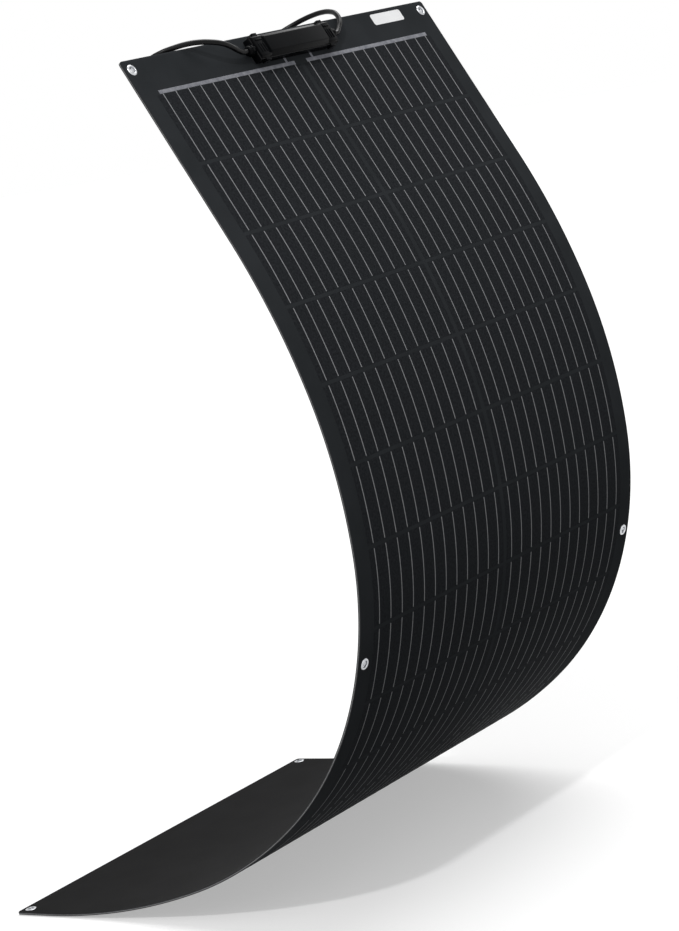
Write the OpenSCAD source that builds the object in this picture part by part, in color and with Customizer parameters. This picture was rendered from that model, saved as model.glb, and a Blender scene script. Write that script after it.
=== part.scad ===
// Flexible solar sheet, bent into the curve in which it stands.
// X runs along the cell rows, +Z is up, and the origin is midway between the two
// eyelets of the foot, at mid thickness, where the sheet is bolted down.

/* [Sheet] */
// Bare margin beside the cells, at the left and the right
side_margin = 20; // [18:0.5:40]
// Thickness of the backing board
back_t = 1.9; // [1.2:0.1:3]
// Thickness of the clear film over the backing board, cells included
film_t = 0.6; // [0.5:0.05:1.2]
// Bare margin below the lowest row of cells
foot_margin = 24.5; // [22:0.5:40]
// Bare margin above the top row of cells, which carries the junction box
head_margin = 38.5; // [37:0.5:60]
// Slit between two bending fields
slit = 1.4; // [1.3:0.1:2]

/* [Bend] */
// Length of the straight strip at the foot, before the bend starts
foot_straight = 40; // [25:1:60]
// Degrees that the foot field turns through, three rows tall
bend_foot = 16.5; // [8:0.5:24]
// Degrees that the second field turns through, two rows tall
bend_2 = 19.5; // [8:0.5:30]
// Degrees that the third field turns through
bend_3 = 26; // [8:0.5:30]
// Degrees that the fourth field turns through
bend_4 = 25; // [8:0.5:30]
// Degrees that the fifth field turns through
bend_5 = 16.5; // [8:0.5:30]
// Degrees that the sixth field turns through, below the flat head field
bend_6 = 12.5; // [6:0.5:24]

/* [Cells] */
// Width of one cell
cell_w = 210; // [190:1:212]
// Height of one cell
cell_h = 70; // [60:1:72]
// Thickness of one cell
cell_t = 0.2; // [0.15:0.01:0.25]
// Gap between two rows of cells
row_gap = 3; // [2:0.5:6]
// Gap between the two columns of cells
column_gap = 5; // [3:0.5:12]
// Collector wires across one cell
wires = 12; // [6:1:12]
// Width of one collector wire
wire_w = 1.2; // [0.5:0.1:1.4]
// Bare end of a cell past its wires, where they don't run on to a ribbon
wire_bare = 0.8; // [0:0.1:3]
// Thickness of one collector wire
wire_t = 0.15; // [0.1:0.01:0.15]
// Width of the tinned bus ribbons
ribbon_w = 4; // [2:0.5:4]
// Gap between the inner ends of the two head ribbons
ribbon_gap = 18; // [12:1:30]

/* [Eyelets] */
// Radius of the hole through an eyelet
eyelet_r = 3.1; // [2.4:0.1:3.6]
// Wall of an eyelet's barrel
eyelet_wall = 0.5; // [0.3:0.1:0.8]
// Radius of an eyelet's flange and of its washer
flange_r = 5.4; // [4.6:0.1:7]
// Height of an eyelet's domed flange
flange_h = 0.8; // [0.5:0.1:1]
// Thickness of the washer behind the sheet
washer_t = 0.6; // [0.4:0.1:1]
// Eyelet centre to the side edge of the sheet
eyelet_side = 9.5; // [8.5:0.5:12]
// Eyelet centre to the foot or head edge of the sheet
eyelet_end = 10; // [8.5:0.5:11]

/* [Label] */
// Length of the blank label near a head eyelet
label_w = 50; // [30:1:70]
// Height of the label
label_h = 12; // [8:0.5:14]
// Thickness of the label
label_t = 0.1; // [0.05:0.01:0.2]
// Label centre to the side edge of the sheet
label_side = 68; // [60:0.5:90]

/* [Junction box] */
// Length of the box along the head edge
box_l = 118; // [110:1:140]
// Middle of the box to the middle of the sheet, towards the left
box_off = 5; // [0:0.5:12]
// Width of the box
box_w = 24; // [23:0.5:26]
// Height of the box's base, above its pad
base_h = 8; // [7:0.5:12]
// Height of the lid above the base
lid_h = 5; // [4:0.5:8]
// Wall of the base and the lid
box_wall = 1.6; // [1.2:0.1:2]
// Centre of the box to the head edge of the sheet
box_in = 18; // [15:0.5:20]
// Thickness of the adhesive pad under the box
pad_t = 0.8; // [0.5:0.1:1.5]
// Thickness of the seal between base and lid
seal_t = 0.6; // [0.4:0.1:1]

/* [Cords] */
// Diameter of the two cords
cord_d = 5; // [4:0.1:5.2]
// Centre of the cords above the box's pad
cord_up = 5; // [4.2:0.1:6]
// Radius of the left coil at the middle of its turns
coil_left_r = 30; // [28:0.5:31]
// Radius of the right coil at the middle of its turns
coil_right_r = 32.5; // [31.5:0.5:33]
// Rise of the coil in one turn
coil_pitch = 5.8; // [5.6:0.1:7]
// Whole turns in each coil, before the last part of a turn
coil_turns = 3; // [2:1:6]

/* [Hidden] */
$fn = 96;

// The stack of layers, measured outwards from mid thickness, with a bond line between them
bond = 0.02;
sheet_t = back_t + film_t;
back_low = -sheet_t / 2;
back_top = back_low + back_t;
front = sheet_t / 2;
cell_low = back_top + bond;
cell_top = cell_low + cell_t;
wire_low = cell_top + bond;
wire_top = wire_low + wire_t;
pocket_top = wire_top + bond;
pocket_fit = 0.05;

// The sheet is as wide as its two columns of cells and its margins
sheet_w = 2 * side_margin + 2 * cell_w + column_gap;

// Rows and fields, counted from the foot
row_pitch = cell_h + row_gap;
field_rows = [3, 2, 2, 2, 2, 2, 2];
FIELDS = len(field_rows);
rows = sum_to(field_rows, FIELDS);
foot_flat = foot_margin - row_gap / 2;
head_flat = head_margin - row_gap / 2;
sheet_l = foot_flat + rows * row_pitch + head_flat;
column_x = [for (side = [-1, 1]) side * (column_gap + cell_w) / 2];
wire_step = cell_w / wires;
foot_ribbon_at = foot_flat - 2 - ribbon_w / 2;
head_ribbon_at = sheet_l - head_margin + 0.5 + ribbon_w / 2;
ribbon_end = column_gap / 2 + cell_w - 5;

// The sheet is a chain of stretches: a straight foot strip, six arcs and a flat head.
// Each has a length and a bend in degrees.
arc_bends = [bend_foot, bend_2, bend_3, bend_4, bend_5, bend_6];
stretch_l = [foot_straight, foot_flat + field_rows[0] * row_pitch - foot_straight,
             for (i = [1:5]) field_rows[i] * row_pitch, field_rows[6] * row_pitch + head_flat];
stretch_bend = [0, for (bend = arc_bends) bend, 0];
STRETCHES = len(stretch_l);

function sum_to(list, n) = n <= 0 ? 0 : list[n - 1] + sum_to(list, n - 1);
function start_u(i) = sum_to(stretch_l, i);
// Direction of travel up the sheet, in degrees from +Y towards +Z
function start_dir(i) = 180 - sum_to(stretch_bend, i);
function radius(i) = stretch_l[i] / (stretch_bend[i] * PI / 180);
function chord(i, part) = stretch_bend[i] == 0
    ? stretch_l[i] * part * [cos(start_dir(i)), sin(start_dir(i))]
    : 2 * radius(i) * sin(stretch_bend[i] * part / 2)
      * [cos(start_dir(i) - stretch_bend[i] * part / 2),
         sin(start_dir(i) - stretch_bend[i] * part / 2)];
function start_point(i) = i == 0 ? [eyelet_end, 0] : start_point(i - 1) + chord(i - 1, 1);
function stretch_at(u, i = 0) = i == STRETCHES - 1 || u < start_u(i + 1) ? i : stretch_at(u, i + 1);
function part_at(u) = (u - start_u(stretch_at(u))) / stretch_l[stretch_at(u)];
function point_at(u) = start_point(stretch_at(u)) + chord(stretch_at(u), part_at(u));
function dir_at(u) = start_dir(stretch_at(u)) - stretch_bend[stretch_at(u)] * part_at(u);

// Where each field starts and ends, less half a slit at a neighbour
function field_from(f) = f == 0 ? 0 : foot_flat + sum_to(field_rows, f) * row_pitch + slit / 2;
function field_to(f) = f == FIELDS - 1 ? sheet_l
    : foot_flat + sum_to(field_rows, f + 1) * row_pitch - slit / 2;
function row_from(row) = foot_margin + row * row_pitch;
function first_row(f) = sum_to(field_rows, f);
function last_row(f) = sum_to(field_rows, f + 1) - 1;

// Places the children on the sheet at a distance u from the foot edge:
// X stays, +Y points up the sheet and +Z out of its cell side.
module on_sheet(u) {
    translate([0, point_at(u)[0], point_at(u)[1]]) rotate([dir_at(u), 0, 0]) children();
}

// A layer that follows the bend, from u0 to u1, low to high and x0 to x1. One that lies in
// one stretch is a block or a true arc, and one that runs on into the next has short facets.
module layer(u0, u1, low, high, x0, x1) {
    i = stretch_at(u0);
    if (u1 > start_u(i) + stretch_l[i] + 0.001)
        profile_layer(u0, u1, low, high, x0, x1);
    else if (stretch_bend[i] == 0)
        on_sheet(start_u(i)) translate([x0, u0 - start_u(i), low]) cube([x1 - x0, u1 - u0, high - low]);
    else
        arc_layer(i, u0 - start_u(i), u1 - start_u(i), low, high, x0, x1);
}

facet_l = 6;

function facets_from(u0, u1) = [
    for (i = [stretch_at(u0):stretch_at(u1 - 0.001)])
        let (from = max(u0, start_u(i)), to = min(u1, start_u(i) + stretch_l[i]),
             n = stretch_bend[i] == 0 ? 1 : ceil((to - from) / facet_l))
            each [for (k = [0:n - 1]) from + (to - from) * k / n],
    u1
];
function side_point(u, out) = point_at(u) + out * [-sin(dir_at(u)), cos(dir_at(u))];

module profile_layer(u0, u1, low, high, x0, x1) {
    us = facets_from(u0, u1);
    rotate([90, 0, 90]) translate([0, 0, x0]) linear_extrude(x1 - x0)
        polygon([for (u = us) side_point(u, low), for (k = [len(us) - 1:-1:0]) side_point(us[k], high)]);
}

module arc_layer(i, from, to, low, high, x0, x1) {
    per_mm = stretch_bend[i] / stretch_l[i];
    out = start_dir(i) + 90;
    centre = start_point(i) - radius(i) * [cos(out), sin(out)];
    translate([0, centre[0], centre[1]]) rotate([90, 0, 90]) rotate([0, 0, out - to * per_mm])
        rotate_extrude(angle = (to - from) * per_mm, $fn = 720)
            translate([radius(i) + low, x0]) square([high - low, x1 - x0]);
}

// Distances from the foot edge at which a field has a pair of eyelets
eyelet_u = [eyelet_end, sheet_l / 2, sheet_l - eyelet_end];
eyelet_field = [0, 3, 6];

module at_eyelets(k) {
    on_sheet(eyelet_u[k])
        for (side = [-1, 1]) translate([side * (sheet_w / 2 - eyelet_side), 0, 0]) children();
}

module eyelet_holes(f) {
    for (k = [0:2]) if (eyelet_field[k] == f)
        at_eyelets(k) cylinder(r = eyelet_r + eyelet_wall, h = 3 * sheet_t, center = true);
}

// The backing board of one field
module back_sheet(f) {
    color("#2b2b2c") difference() {
        layer(field_from(f), field_to(f), back_low, back_top, -sheet_w / 2, sheet_w / 2);
        eyelet_holes(f);
    }
}

// The cells of one field, side by side in two columns
module cells(f) {
    color("#1f2228") for (row = [first_row(f):last_row(f)], x = column_x)
        layer(row_from(row), row_from(row) + cell_h, cell_low, cell_top, x - cell_w / 2, x + cell_w / 2);
}

// The top row's wires run on to the head ribbons, the lowest row's to the foot ribbon
function wire_from(row) = row == 0 ? foot_ribbon_at : row_from(row) + wire_bare;
function wire_to(row) = row == rows - 1 ? head_ribbon_at : row_from(row) + cell_h - wire_bare;

module collector_wires(f) {
    color("#8a8c90")
        for (row = [first_row(f):last_row(f)], x = column_x, w = [0:wires - 1]) {
            middle = x - cell_w / 2 + (w + 0.5) * wire_step;
            layer(wire_from(row), wire_to(row), wire_low, wire_top,
                  middle - wire_w / 2, middle + wire_w / 2);
        }
}

// A pocket in the film's underside. The foot's film has short facets, as its field starts
// with the straight strip, and there the pockets have them too.
module film_pocket(f, u0, u1, top, x0, x1) {
    if (f == 0) profile_layer(u0, u1, back_top - 1, top, x0, x1);
    else layer(u0, u1, back_top - 1, top, x0, x1);
}

// The clear film of one field, with a pocket over each cell and each ribbon. The lowest
// row's pocket reaches down over the foot ribbon, which a pocket in the middle joins up.
function pocket_from(row) = (row == 0 ? foot_ribbon_at - ribbon_w / 2 : row_from(row)) - pocket_fit;

module front_film(f) {
    color("#33373a", 0.3) difference() {
        layer(field_from(f), field_to(f), cell_low, front, -sheet_w / 2, sheet_w / 2);
        for (row = [first_row(f):last_row(f)], x = column_x)
            film_pocket(f, pocket_from(row), row_from(row) + cell_h + pocket_fit, pocket_top,
                        x - cell_w / 2 - pocket_fit, x + cell_w / 2 + pocket_fit);
        if (f == 0) film_pocket(f, foot_ribbon_at - ribbon_w / 2, foot_ribbon_at + ribbon_w / 2,
                                cell_top + bond, -column_gap, column_gap);
        if (f == FIELDS - 1) for (side = [-1, 1])
            film_pocket(f, sheet_l - head_margin, head_ribbon_at + ribbon_w / 2, pocket_top,
                        min(side * ribbon_end, side * ribbon_gap / 2),
                        max(side * ribbon_end, side * ribbon_gap / 2));
        if (f == FIELDS - 1) lead_slots();
        eyelet_holes(f);
    }
}

// The bus ribbons lie on the board, level with the cells
module ribbon(at, x0, x1) {
    color("#75777f") layer(at - ribbon_w / 2, at + ribbon_w / 2, cell_low, cell_top, x0, x1);
}

// A tab on each head ribbon runs under the box and rises into it
tab_in = 39;
tab_x = box_l / 2 - tab_in;
tab_w = 3;
tab_t = 0.2;
tab_run = sheet_l - box_in - head_ribbon_at - ribbon_w / 2;
slot_w = 6;
slot_l = 2;

module at_tabs() {
    on_sheet(sheet_l - box_in) for (side = [-1, 1]) translate([side * tab_x, 0, 0]) children();
}

module lead_slots() {
    at_tabs() {
        translate([-slot_w / 2, -tab_run - 1, back_top - 1])
            cube([slot_w, tab_run + 1, 1 + pocket_top - back_top]);
        translate([-slot_w / 2, -slot_l / 2, back_top - 1]) cube([slot_w, slot_l, sheet_t + 1]);
    }
}

module lead_tabs() {
    color("#b8bcc4") at_tabs() translate([-tab_w / 2, 0, cell_low]) {
        translate([0, -tab_run, 0]) cube([tab_w, tab_run + tab_t, tab_t]);
        cube([tab_w, tab_t, front + pad_t + floor_t - cell_low]);
    }
}

// An eyelet: barrel, domed flange on the cell side and rolled lip behind the washer
module eyelet() {
    flange_w = flange_r - eyelet_r;
    dome_r = (pow(flange_w / 2, 2) + pow(flange_h, 2)) / (2 * flange_h);
    rotate_extrude() {
        translate([eyelet_r, back_low - washer_t]) square([eyelet_wall, sheet_t + washer_t]);
        intersection() {
            translate([eyelet_r, front]) square([flange_w, flange_h]);
            translate([eyelet_r + flange_w / 2, front + flange_h - dome_r]) circle(r = dome_r);
        }
        intersection() {
            translate([eyelet_r + eyelet_wall, back_low - washer_t]) circle(r = eyelet_wall);
            translate([eyelet_r, back_low - washer_t - 1]) square([2 * eyelet_wall, 1]);
        }
    }
}

// The washer clears the hollow of the bend by a little
washer_fit = 0.12;

module eyelet_washer() {
    translate([0, 0, back_low - washer_t]) difference() {
        cylinder(r = flange_r, h = washer_t - washer_fit);
        translate([0, 0, -1]) cylinder(r = eyelet_r + eyelet_wall, h = washer_t + 2);
    }
}

module eyelets(k) { color("#d5d8dc") at_eyelets(k) eyelet(); }
module washers(k) { color("#c9ccd1") at_eyelets(k) eyelet_washer(); }

// A blank label with round corners, stuck on the film beside a head eyelet
label_corner = 2.5;

module label() {
    color("#e9ebec") on_sheet(sheet_l - eyelet_end) translate([sheet_w / 2 - label_side, 0, front + bond])
        linear_extrude(label_t) {
            square([label_w - 2 * label_corner, label_h], center = true);
            square([label_w, label_h - 2 * label_corner], center = true);
            for (sx = [-1, 1], sy = [-1, 1])
                translate([sx * (label_w / 2 - label_corner), sy * (label_h / 2 - label_corner)])
                    circle(r = label_corner);
        }
}

// The junction box stands on the film: origin at its middle, +Y towards the head edge
box_top = pad_t + base_h;
floor_t = 1.4;
cord_r = cord_d / 2;
cord_z = pad_t + cord_up;
seal_r = cord_r + 1;
spout_r = seal_r + 0.9;
spout_l = 5;
spout_fit = 0.1;
neck_r = base_h - cord_up - 0.1;
nut_r = spout_r + 1.2;
nut_end_t = 3;
gland_end = box_l / 2 + spout_l + nut_end_t;
gland_seal_l = 3;
clip_x = box_l / 2 - 9;
clip_w = 7;
ledge_out = 1;

module in_box_place() {
    on_sheet(sheet_l - box_in) translate([-box_off, 0, front]) children();
}
module at_both_ends() { for (side = [0, 1]) mirror([side, 0, 0]) children(); }
module along_x(x, z = cord_z) { translate([x, 0, z]) rotate([0, 90, 0]) children(); }
module box_slots(z) {
    for (side = [-1, 1]) translate([side * tab_x + box_off - slot_w / 2, -slot_l / 2, z])
        cube([slot_w, slot_l, 4]);
}

module box_pad() {
    color("#202022") in_box_place() difference() {
        translate([-box_l / 2 + 3, -box_w / 2 + 1.5, 0]) cube([box_l - 6, box_w - 3, pad_t]);
        box_slots(-1);
    }
}

// The base is a tray with a slot for each lead, a threaded spout at each end,
// and four ledges under which the lid's clips hook
module box_base() {
    color("#17181a") in_box_place() difference() {
        union() {
            translate([-box_l / 2, -box_w / 2, pad_t]) cube([box_l, box_w, base_h]);
            at_both_ends() along_x(box_l / 2 - 1) cylinder(r = neck_r, h = 2);
            at_both_ends() along_x(box_l / 2 + spout_fit) cylinder(r = spout_r, h = spout_l - spout_fit);
            for (sx = [-1, 1])
                translate([sx * clip_x - clip_w / 2 - 1, -box_w / 2 - ledge_out, box_top - 3.4])
                    cube([clip_w + 2, box_w + 2 * ledge_out, 1.6]);
        }
        translate([-box_l / 2 + box_wall, -box_w / 2 + box_wall, pad_t + floor_t])
            cube([box_l - 2 * box_wall, box_w - 2 * box_wall, base_h]);
        along_x(-box_l) cylinder(r = cord_r, h = 2 * box_l);
        at_both_ends() along_x(box_l / 2 + spout_l - gland_seal_l) cylinder(r = seal_r, h = 4);
        box_slots(pad_t - 1);
    }
}

module box_seal() {
    color("#3a3a3c") in_box_place() difference() {
        translate([-box_l / 2, -box_w / 2, box_top]) cube([box_l, box_w, seal_t]);
        translate([-box_l / 2 + box_wall, -box_w / 2 + box_wall, box_top - 1])
            cube([box_l - 2 * box_wall, box_w - 2 * box_wall, seal_t + 2]);
    }
}

// The lid has a raised middle with sloping sides, and a low ribbed shoulder at each end
shoulder_l = 14;
shoulder_h = 3;
lid_slope = 5;
shoulder_slope = 2.5;
rib_w = 1.2;
rib_h = 0.9;
rib_step = 3.4;
rib_l = 10;
bar_l = 9;
bar_w = 1.8;
bar_h = 1.3;
sink = 0.2;

module lid_block(l, w, h, slope) {
    rotate([90, 0, 90]) linear_extrude(l, center = true)
        polygon([[-w / 2, 0], [w / 2, 0], [w / 2, 1], [w / 2 - slope, h], [-w / 2 + slope, h], [-w / 2, 1]]);
}

module lid_clip() {
    arm_y = box_w / 2 + ledge_out + 0.3;
    hook_h = 1.2;
    hook_z = -seal_t - 3.6 - hook_h;
    translate([-clip_w / 2, box_w / 2 - 1, 0.2]) cube([clip_w, arm_y - box_w / 2 + 2, 0.8]);
    translate([-clip_w / 2, arm_y, hook_z]) cube([clip_w, 1.2, 1 - hook_z]);
    translate([-clip_w / 2, box_w / 2 + 0.2, hook_z]) cube([clip_w, arm_y - box_w / 2, hook_h]);
}

module box_lid() {
    mid_l = box_l - 2 * shoulder_l;
    color("#1b1c1f") in_box_place() translate([0, 0, box_top + seal_t]) {
        difference() {
            union() {
                lid_block(mid_l, box_w, lid_h, lid_slope);
                lid_block(box_l, box_w, shoulder_h, shoulder_slope);
            }
            translate([0, 0, -0.01]) {
                lid_block(mid_l - 2 * box_wall, box_w - 2 * box_wall, lid_h - box_wall, lid_slope);
                lid_block(box_l - 2 * box_wall, box_w - 2 * box_wall, shoulder_h - box_wall, 1);
            }
        }
        for (sx = [-1, 1], rib = [1:3])
            translate([sx * (mid_l / 2 + rib * rib_step) - rib_w / 2, -rib_l / 2 - 2, shoulder_h - sink])
                cube([rib_w, rib_l, rib_h]);
        for (sx = [-1, 1])
            translate([sx * (box_l - shoulder_l) / 2 - bar_l / 2, rib_l / 2 + 0.6, shoulder_h - sink])
                cube([bar_l, bar_w, bar_h]);
        for (sx = [-1, 1], sy = [0, 1])
            translate([sx * clip_x, 0, 0]) mirror([0, sy, 0]) lid_clip();
    }
}

// A terminal is a brass plate, with a barrel crimped on the cord's bare end
plate_t = 0.8;
plate_l = 24;
plate_w = 10;
barrel_x = tab_x + 8;
barrel_l = 10;
core_r = 1.25;

module terminal(side) {
    color("#b99a4a") in_box_place() translate([box_off, 0, 0]) mirror([side, 0, 0]) {
        translate([tab_x - 5, -plate_w / 2, pad_t + floor_t]) cube([plate_l, plate_w, plate_t]);
        difference() {
            along_x(barrel_x) cylinder(r = cord_up - floor_t - plate_t + 0.1, h = barrel_l);
            along_x(barrel_x - 1) cylinder(r = core_r, h = barrel_l + 2);
        }
    }
}

// The bypass diode bridges the two terminals
module bypass_diode() {
    diode_low = pad_t + floor_t + plate_t;
    diode_r = 2.6;
    leg_r = 0.5;
    color("#26262a") in_box_place() translate([box_off, 0, diode_low]) {
        along_x(-4.5, diode_r) cylinder(r = diode_r, h = 9);
        for (side = [-1, 1]) {
            translate([side * 4.5, 0, diode_r]) rotate([0, side * 90, 0])
                cylinder(r = leg_r, h = tab_x - 6.5);
            translate([side * (tab_x - 2), 0, 0]) cylinder(r = leg_r, h = diode_r);
        }
    }
}

// The stretch of each cord inside its gland, and its bare conductor up to the barrel
module cord_tails() {
    strip_x = box_l / 2 - 8;
    color("#151516") in_box_place() for (side = [-1, 1]) {
        core_x = barrel_x + side * box_off;
        mirror([side < 0 ? 1 : 0, 0, 0]) {
            along_x(strip_x) cylinder(r = cord_r, h = gland_end - strip_x);
            along_x(core_x) cylinder(r = core_r, h = strip_x - core_x + 1);
        }
    }
}

module gland_seals() {
    color("#3a3a3c") in_box_place() at_both_ends() along_x(box_l / 2 + spout_l - gland_seal_l)
        difference() {
            cylinder(r = seal_r, h = gland_seal_l);
            translate([0, 0, -1]) cylinder(r = cord_r, h = gland_seal_l + 2);
        }
}

// A gland nut: a cap with grip ribs that screws over the spout
module gland_nut(side) {
    gap = 0.4;
    color("#141416") in_box_place() mirror([side, 0, 0]) difference() {
        union() {
            along_x(box_l / 2 + gap) cylinder(r = nut_r - 0.3, h = spout_l - gap);
            along_x(box_l / 2 + spout_l) cylinder(r = nut_r - 1, h = nut_end_t);
            for (rib = [0:11]) translate([box_l / 2 + gap, 0, cord_z]) rotate([rib * 30, 0, 0])
                translate([0, -0.6, nut_r - 0.9]) cube([spout_l - gap, 1.2, 0.9]);
        }
        along_x(box_l / 2) cylinder(r = spout_r, h = spout_l);
        along_x(box_l / 2) cylinder(r = cord_r, h = spout_l + nut_end_t + 1);
    }
}

// Where a cord leaves its gland, in the frame of the whole part
function box_point(x) = let (head = point_at(sheet_l - box_in), d = dir_at(sheet_l - box_in), up = front + cord_z)
    [x - box_off, head[0] - up * sin(d), head[1] + up * cos(d)];

// Both cords loop over the head edge and drop behind the sheet to a pair of coils
coil_x = -30;
coil_z = 700;
lead = 5;
tail = 26;

left_route = [
    [-84, -365, 777.5], [-95, -366, 782.5], [-106.5, -365.5, 787], [-118, -363, 790],
    [-129.5, -358.5, 792], [-140.5, -353, 792.5], [-150, -346, 791.5], [-158.5, -337.5, 789.5],
    [-164.5, -327.5, 785.5], [-165.5, -317, 779.5], [-162, -309.5, 770.5], [-155, -306, 762],
    [-145.5, -305.5, 754.5], [-135, -307, 748], [-124, -310.5, 743], [-113, -315.5, 739],
    [-101.5, -321, 736.5], [-90, -326.5, 734.5], [-79, -332, 733.5], [-67.5, -337.5, 733],
    [-55.5, -341.5, 732.5]
];
right_route = [
    [73, -363, 778.5], [82, -359.5, 785.5], [88.5, -352.5, 792.5], [93.5, -342, 796],
    [96, -330.5, 797], [95.5, -319, 796], [92.5, -307.5, 793.5], [86.5, -298, 790],
    [78.5, -290.5, 786], [69, -286, 781.5], [58.5, -283.5, 777], [47.5, -283.5, 772.5],
    [36.5, -286, 768.5], [26, -290, 764], [15.5, -295.5, 759.5], [5, -301.5, 755],
    [-5, -307.5, 750.5], [-15, -313, 745.5]
];

// A coil is [way round, entry angle, entry y, radius]: 1 turns clockwise, -1 the other way
left_coil = [1, 83, -345, coil_left_r];
right_coil = [-1, 127, -320, coil_right_r];

function unit(v) = v / norm(v);
function coil_spin(coil) = coil_turns * 360 + (coil[0] > 0 ? coil[1] : 180 - coil[1]);
function coil_angle(coil, part) = coil[1] - coil[0] * part * coil_spin(coil);
function coil_out(coil, part) = [cos(coil_angle(coil, part)), 0, sin(coil_angle(coil, part))];
function coil_point(coil, part) = [coil_x, coil[2] + coil_pitch * part * coil_spin(coil) / 360, coil_z]
    + coil[3] * coil_out(coil, part);
function coil_way(coil, part) = coil[0]
    * [sin(coil_angle(coil, part)), 0, -cos(coil_angle(coil, part))];
function coil_entry(coil) = coil_point(coil, 0) - lead * coil_way(coil, 0);
function coil_exit(coil) = coil_point(coil, 1) + tail * coil_way(coil, 1);

// Outward directions at each point of a route, carried along it without a twist
function way_at(p, i) = unit(p[min(i + 1, len(p) - 1)] - p[max(i - 1, 0)]);
function across(v, way) = unit(v - (v * way) * way);
function carried(p, first) = [
    for (i = 0, out = across(first, way_at(p, 0)); i < len(p);
         i = i + 1, out = i < len(p) ? across(out, way_at(p, i)) : out) out
];

// A tube: rings of points joined by triangles, with a flat cap at each end
module tube(p, outs, ways, r, sides) {
    n = len(p);
    points = [for (i = [0:n - 1], s = [0:sides - 1])
        p[i] + r * (cos(s * 360 / sides) * outs[i] + sin(s * 360 / sides) * cross(ways[i], outs[i]))];
    faces = [
        [for (s = [0:sides - 1]) s],
        [for (s = [sides - 1:-1:0]) (n - 1) * sides + s],
        for (i = [0:n - 2], s = [0:sides - 1]) let (next = (s + 1) % sides)
            each [[i * sides + s, (i + 1) * sides + s, (i + 1) * sides + next],
                  [i * sides + s, (i + 1) * sides + next, i * sides + next]]
    ];
    polyhedron(points, faces);
}

module cord(exit, start_way, route, coil) {
    p = [exit, exit + 5 * start_way, each route, coil_entry(coil) - lead * coil_way(coil, 0), coil_entry(coil)];
    color("#111112") tube(p, carried(p, [0, 1, 0]), [for (i = [0:len(p) - 1]) way_at(p, i)], cord_r, 8);
}

module coil(c) {
    steps = round(24 * coil_spin(c) / 360);
    parts = [0, for (i = [0:steps]) i / steps, 1];
    p = [coil_entry(c), for (i = [0:steps]) coil_point(c, i / steps), coil_exit(c)];
    color("#111112") tube(p, [for (part = parts) coil_out(c, part)],
                          [for (part = parts) coil_way(c, part)], cord_r, 6);
}

// Least gap of a coil to itself, from ring to ring more than half a turn apart
function coil_gap(c, steps = 72) = min([for (i = [0:steps - 13], j = [i + 13:steps])
    norm(coil_point(c, i / steps) - coil_point(c, j / steps))]) - cord_d;
echo(left_coil_gap = coil_gap(left_coil), right_coil_gap = coil_gap(right_coil));

// A strap that holds both coils at the bottom
tie_w = 6;
tie_t = 1.2;
tie_fit = 0.3;

module coil_tie() {
    low = coil_z - max(coil_left_r, coil_right_r) - cord_r - tie_fit;
    high = coil_z - min(coil_left_r, coil_right_r) + cord_r + tie_fit;
    from = left_coil[2] - cord_r - tie_fit;
    to = right_coil[2] + coil_pitch * coil_spin(right_coil) / 360 + cord_r + tie_fit;
    color("#19191a") difference() {
        translate([coil_x - tie_w / 2, from - tie_t, low - tie_t])
            cube([tie_w, to - from + 2 * tie_t, high - low + 2 * tie_t]);
        translate([coil_x - tie_w, from, low]) cube([2 * tie_w, to - from, high - low]);
    }
}

// The connectors hang from the coils: a nut on the cord, then the body, along -Z
con_r = 7.4;
con_nut_r = 8.4;
con_nut_l = 17;
con_body_l = 22;
con_nose_l = 18;

module at_connector(c) { translate(coil_exit(c)) rotate([180, 0, 0]) children(); }

module connector_nut() {
    cylinder(r = con_nut_r - 2, h = 3);
    translate([0, 0, 3]) cylinder(r = con_nut_r, h = con_nut_l - 3, $fn = 12);
}

module connector_body() {
    cylinder(r = con_r + 0.8, h = 3);
    cylinder(r = con_r, h = con_body_l);
    for (side = [-1, 1]) translate([side * con_r - 0.6, -3, 6]) cube([1.2, 6, con_body_l - 8]);
}

module plug_nut() { color("#131314") at_connector(left_coil) connector_nut(); }
module socket_nut() { color("#131314") at_connector(right_coil) connector_nut(); }

// The plug has a pin inside a sleeve, and two spring latches
module plug_body() {
    color("#161617") at_connector(left_coil) translate([0, 0, con_nut_l]) {
        connector_body();
        translate([0, 0, con_body_l]) {
            difference() {
                cylinder(r = con_r, h = con_nose_l);
                translate([0, 0, -0.01]) cylinder(r = con_r - 1.5, h = con_nose_l + 1);
                for (side = [-1, 1]) translate([side * con_r - 2, -3, 5]) cube([4, 6, con_nose_l]);
            }
            cylinder(r = 2, h = con_nose_l - 4);
            for (side = [-1, 1]) translate([side * (con_r - 0.8) - 0.7, -2, -1]) cube([1.4, 4, con_nose_l + 3]);
        }
    }
}

// The socket has a round nose with a bore for the pin
module socket_body() {
    color("#161617") at_connector(right_coil) translate([0, 0, con_nut_l]) {
        connector_body();
        translate([0, 0, con_body_l]) difference() {
            cylinder(r = con_r - 1.7, h = con_nose_l);
            translate([0, 0, 4]) cylinder(r = 2.2, h = con_nose_l);
        }
    }
}

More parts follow.
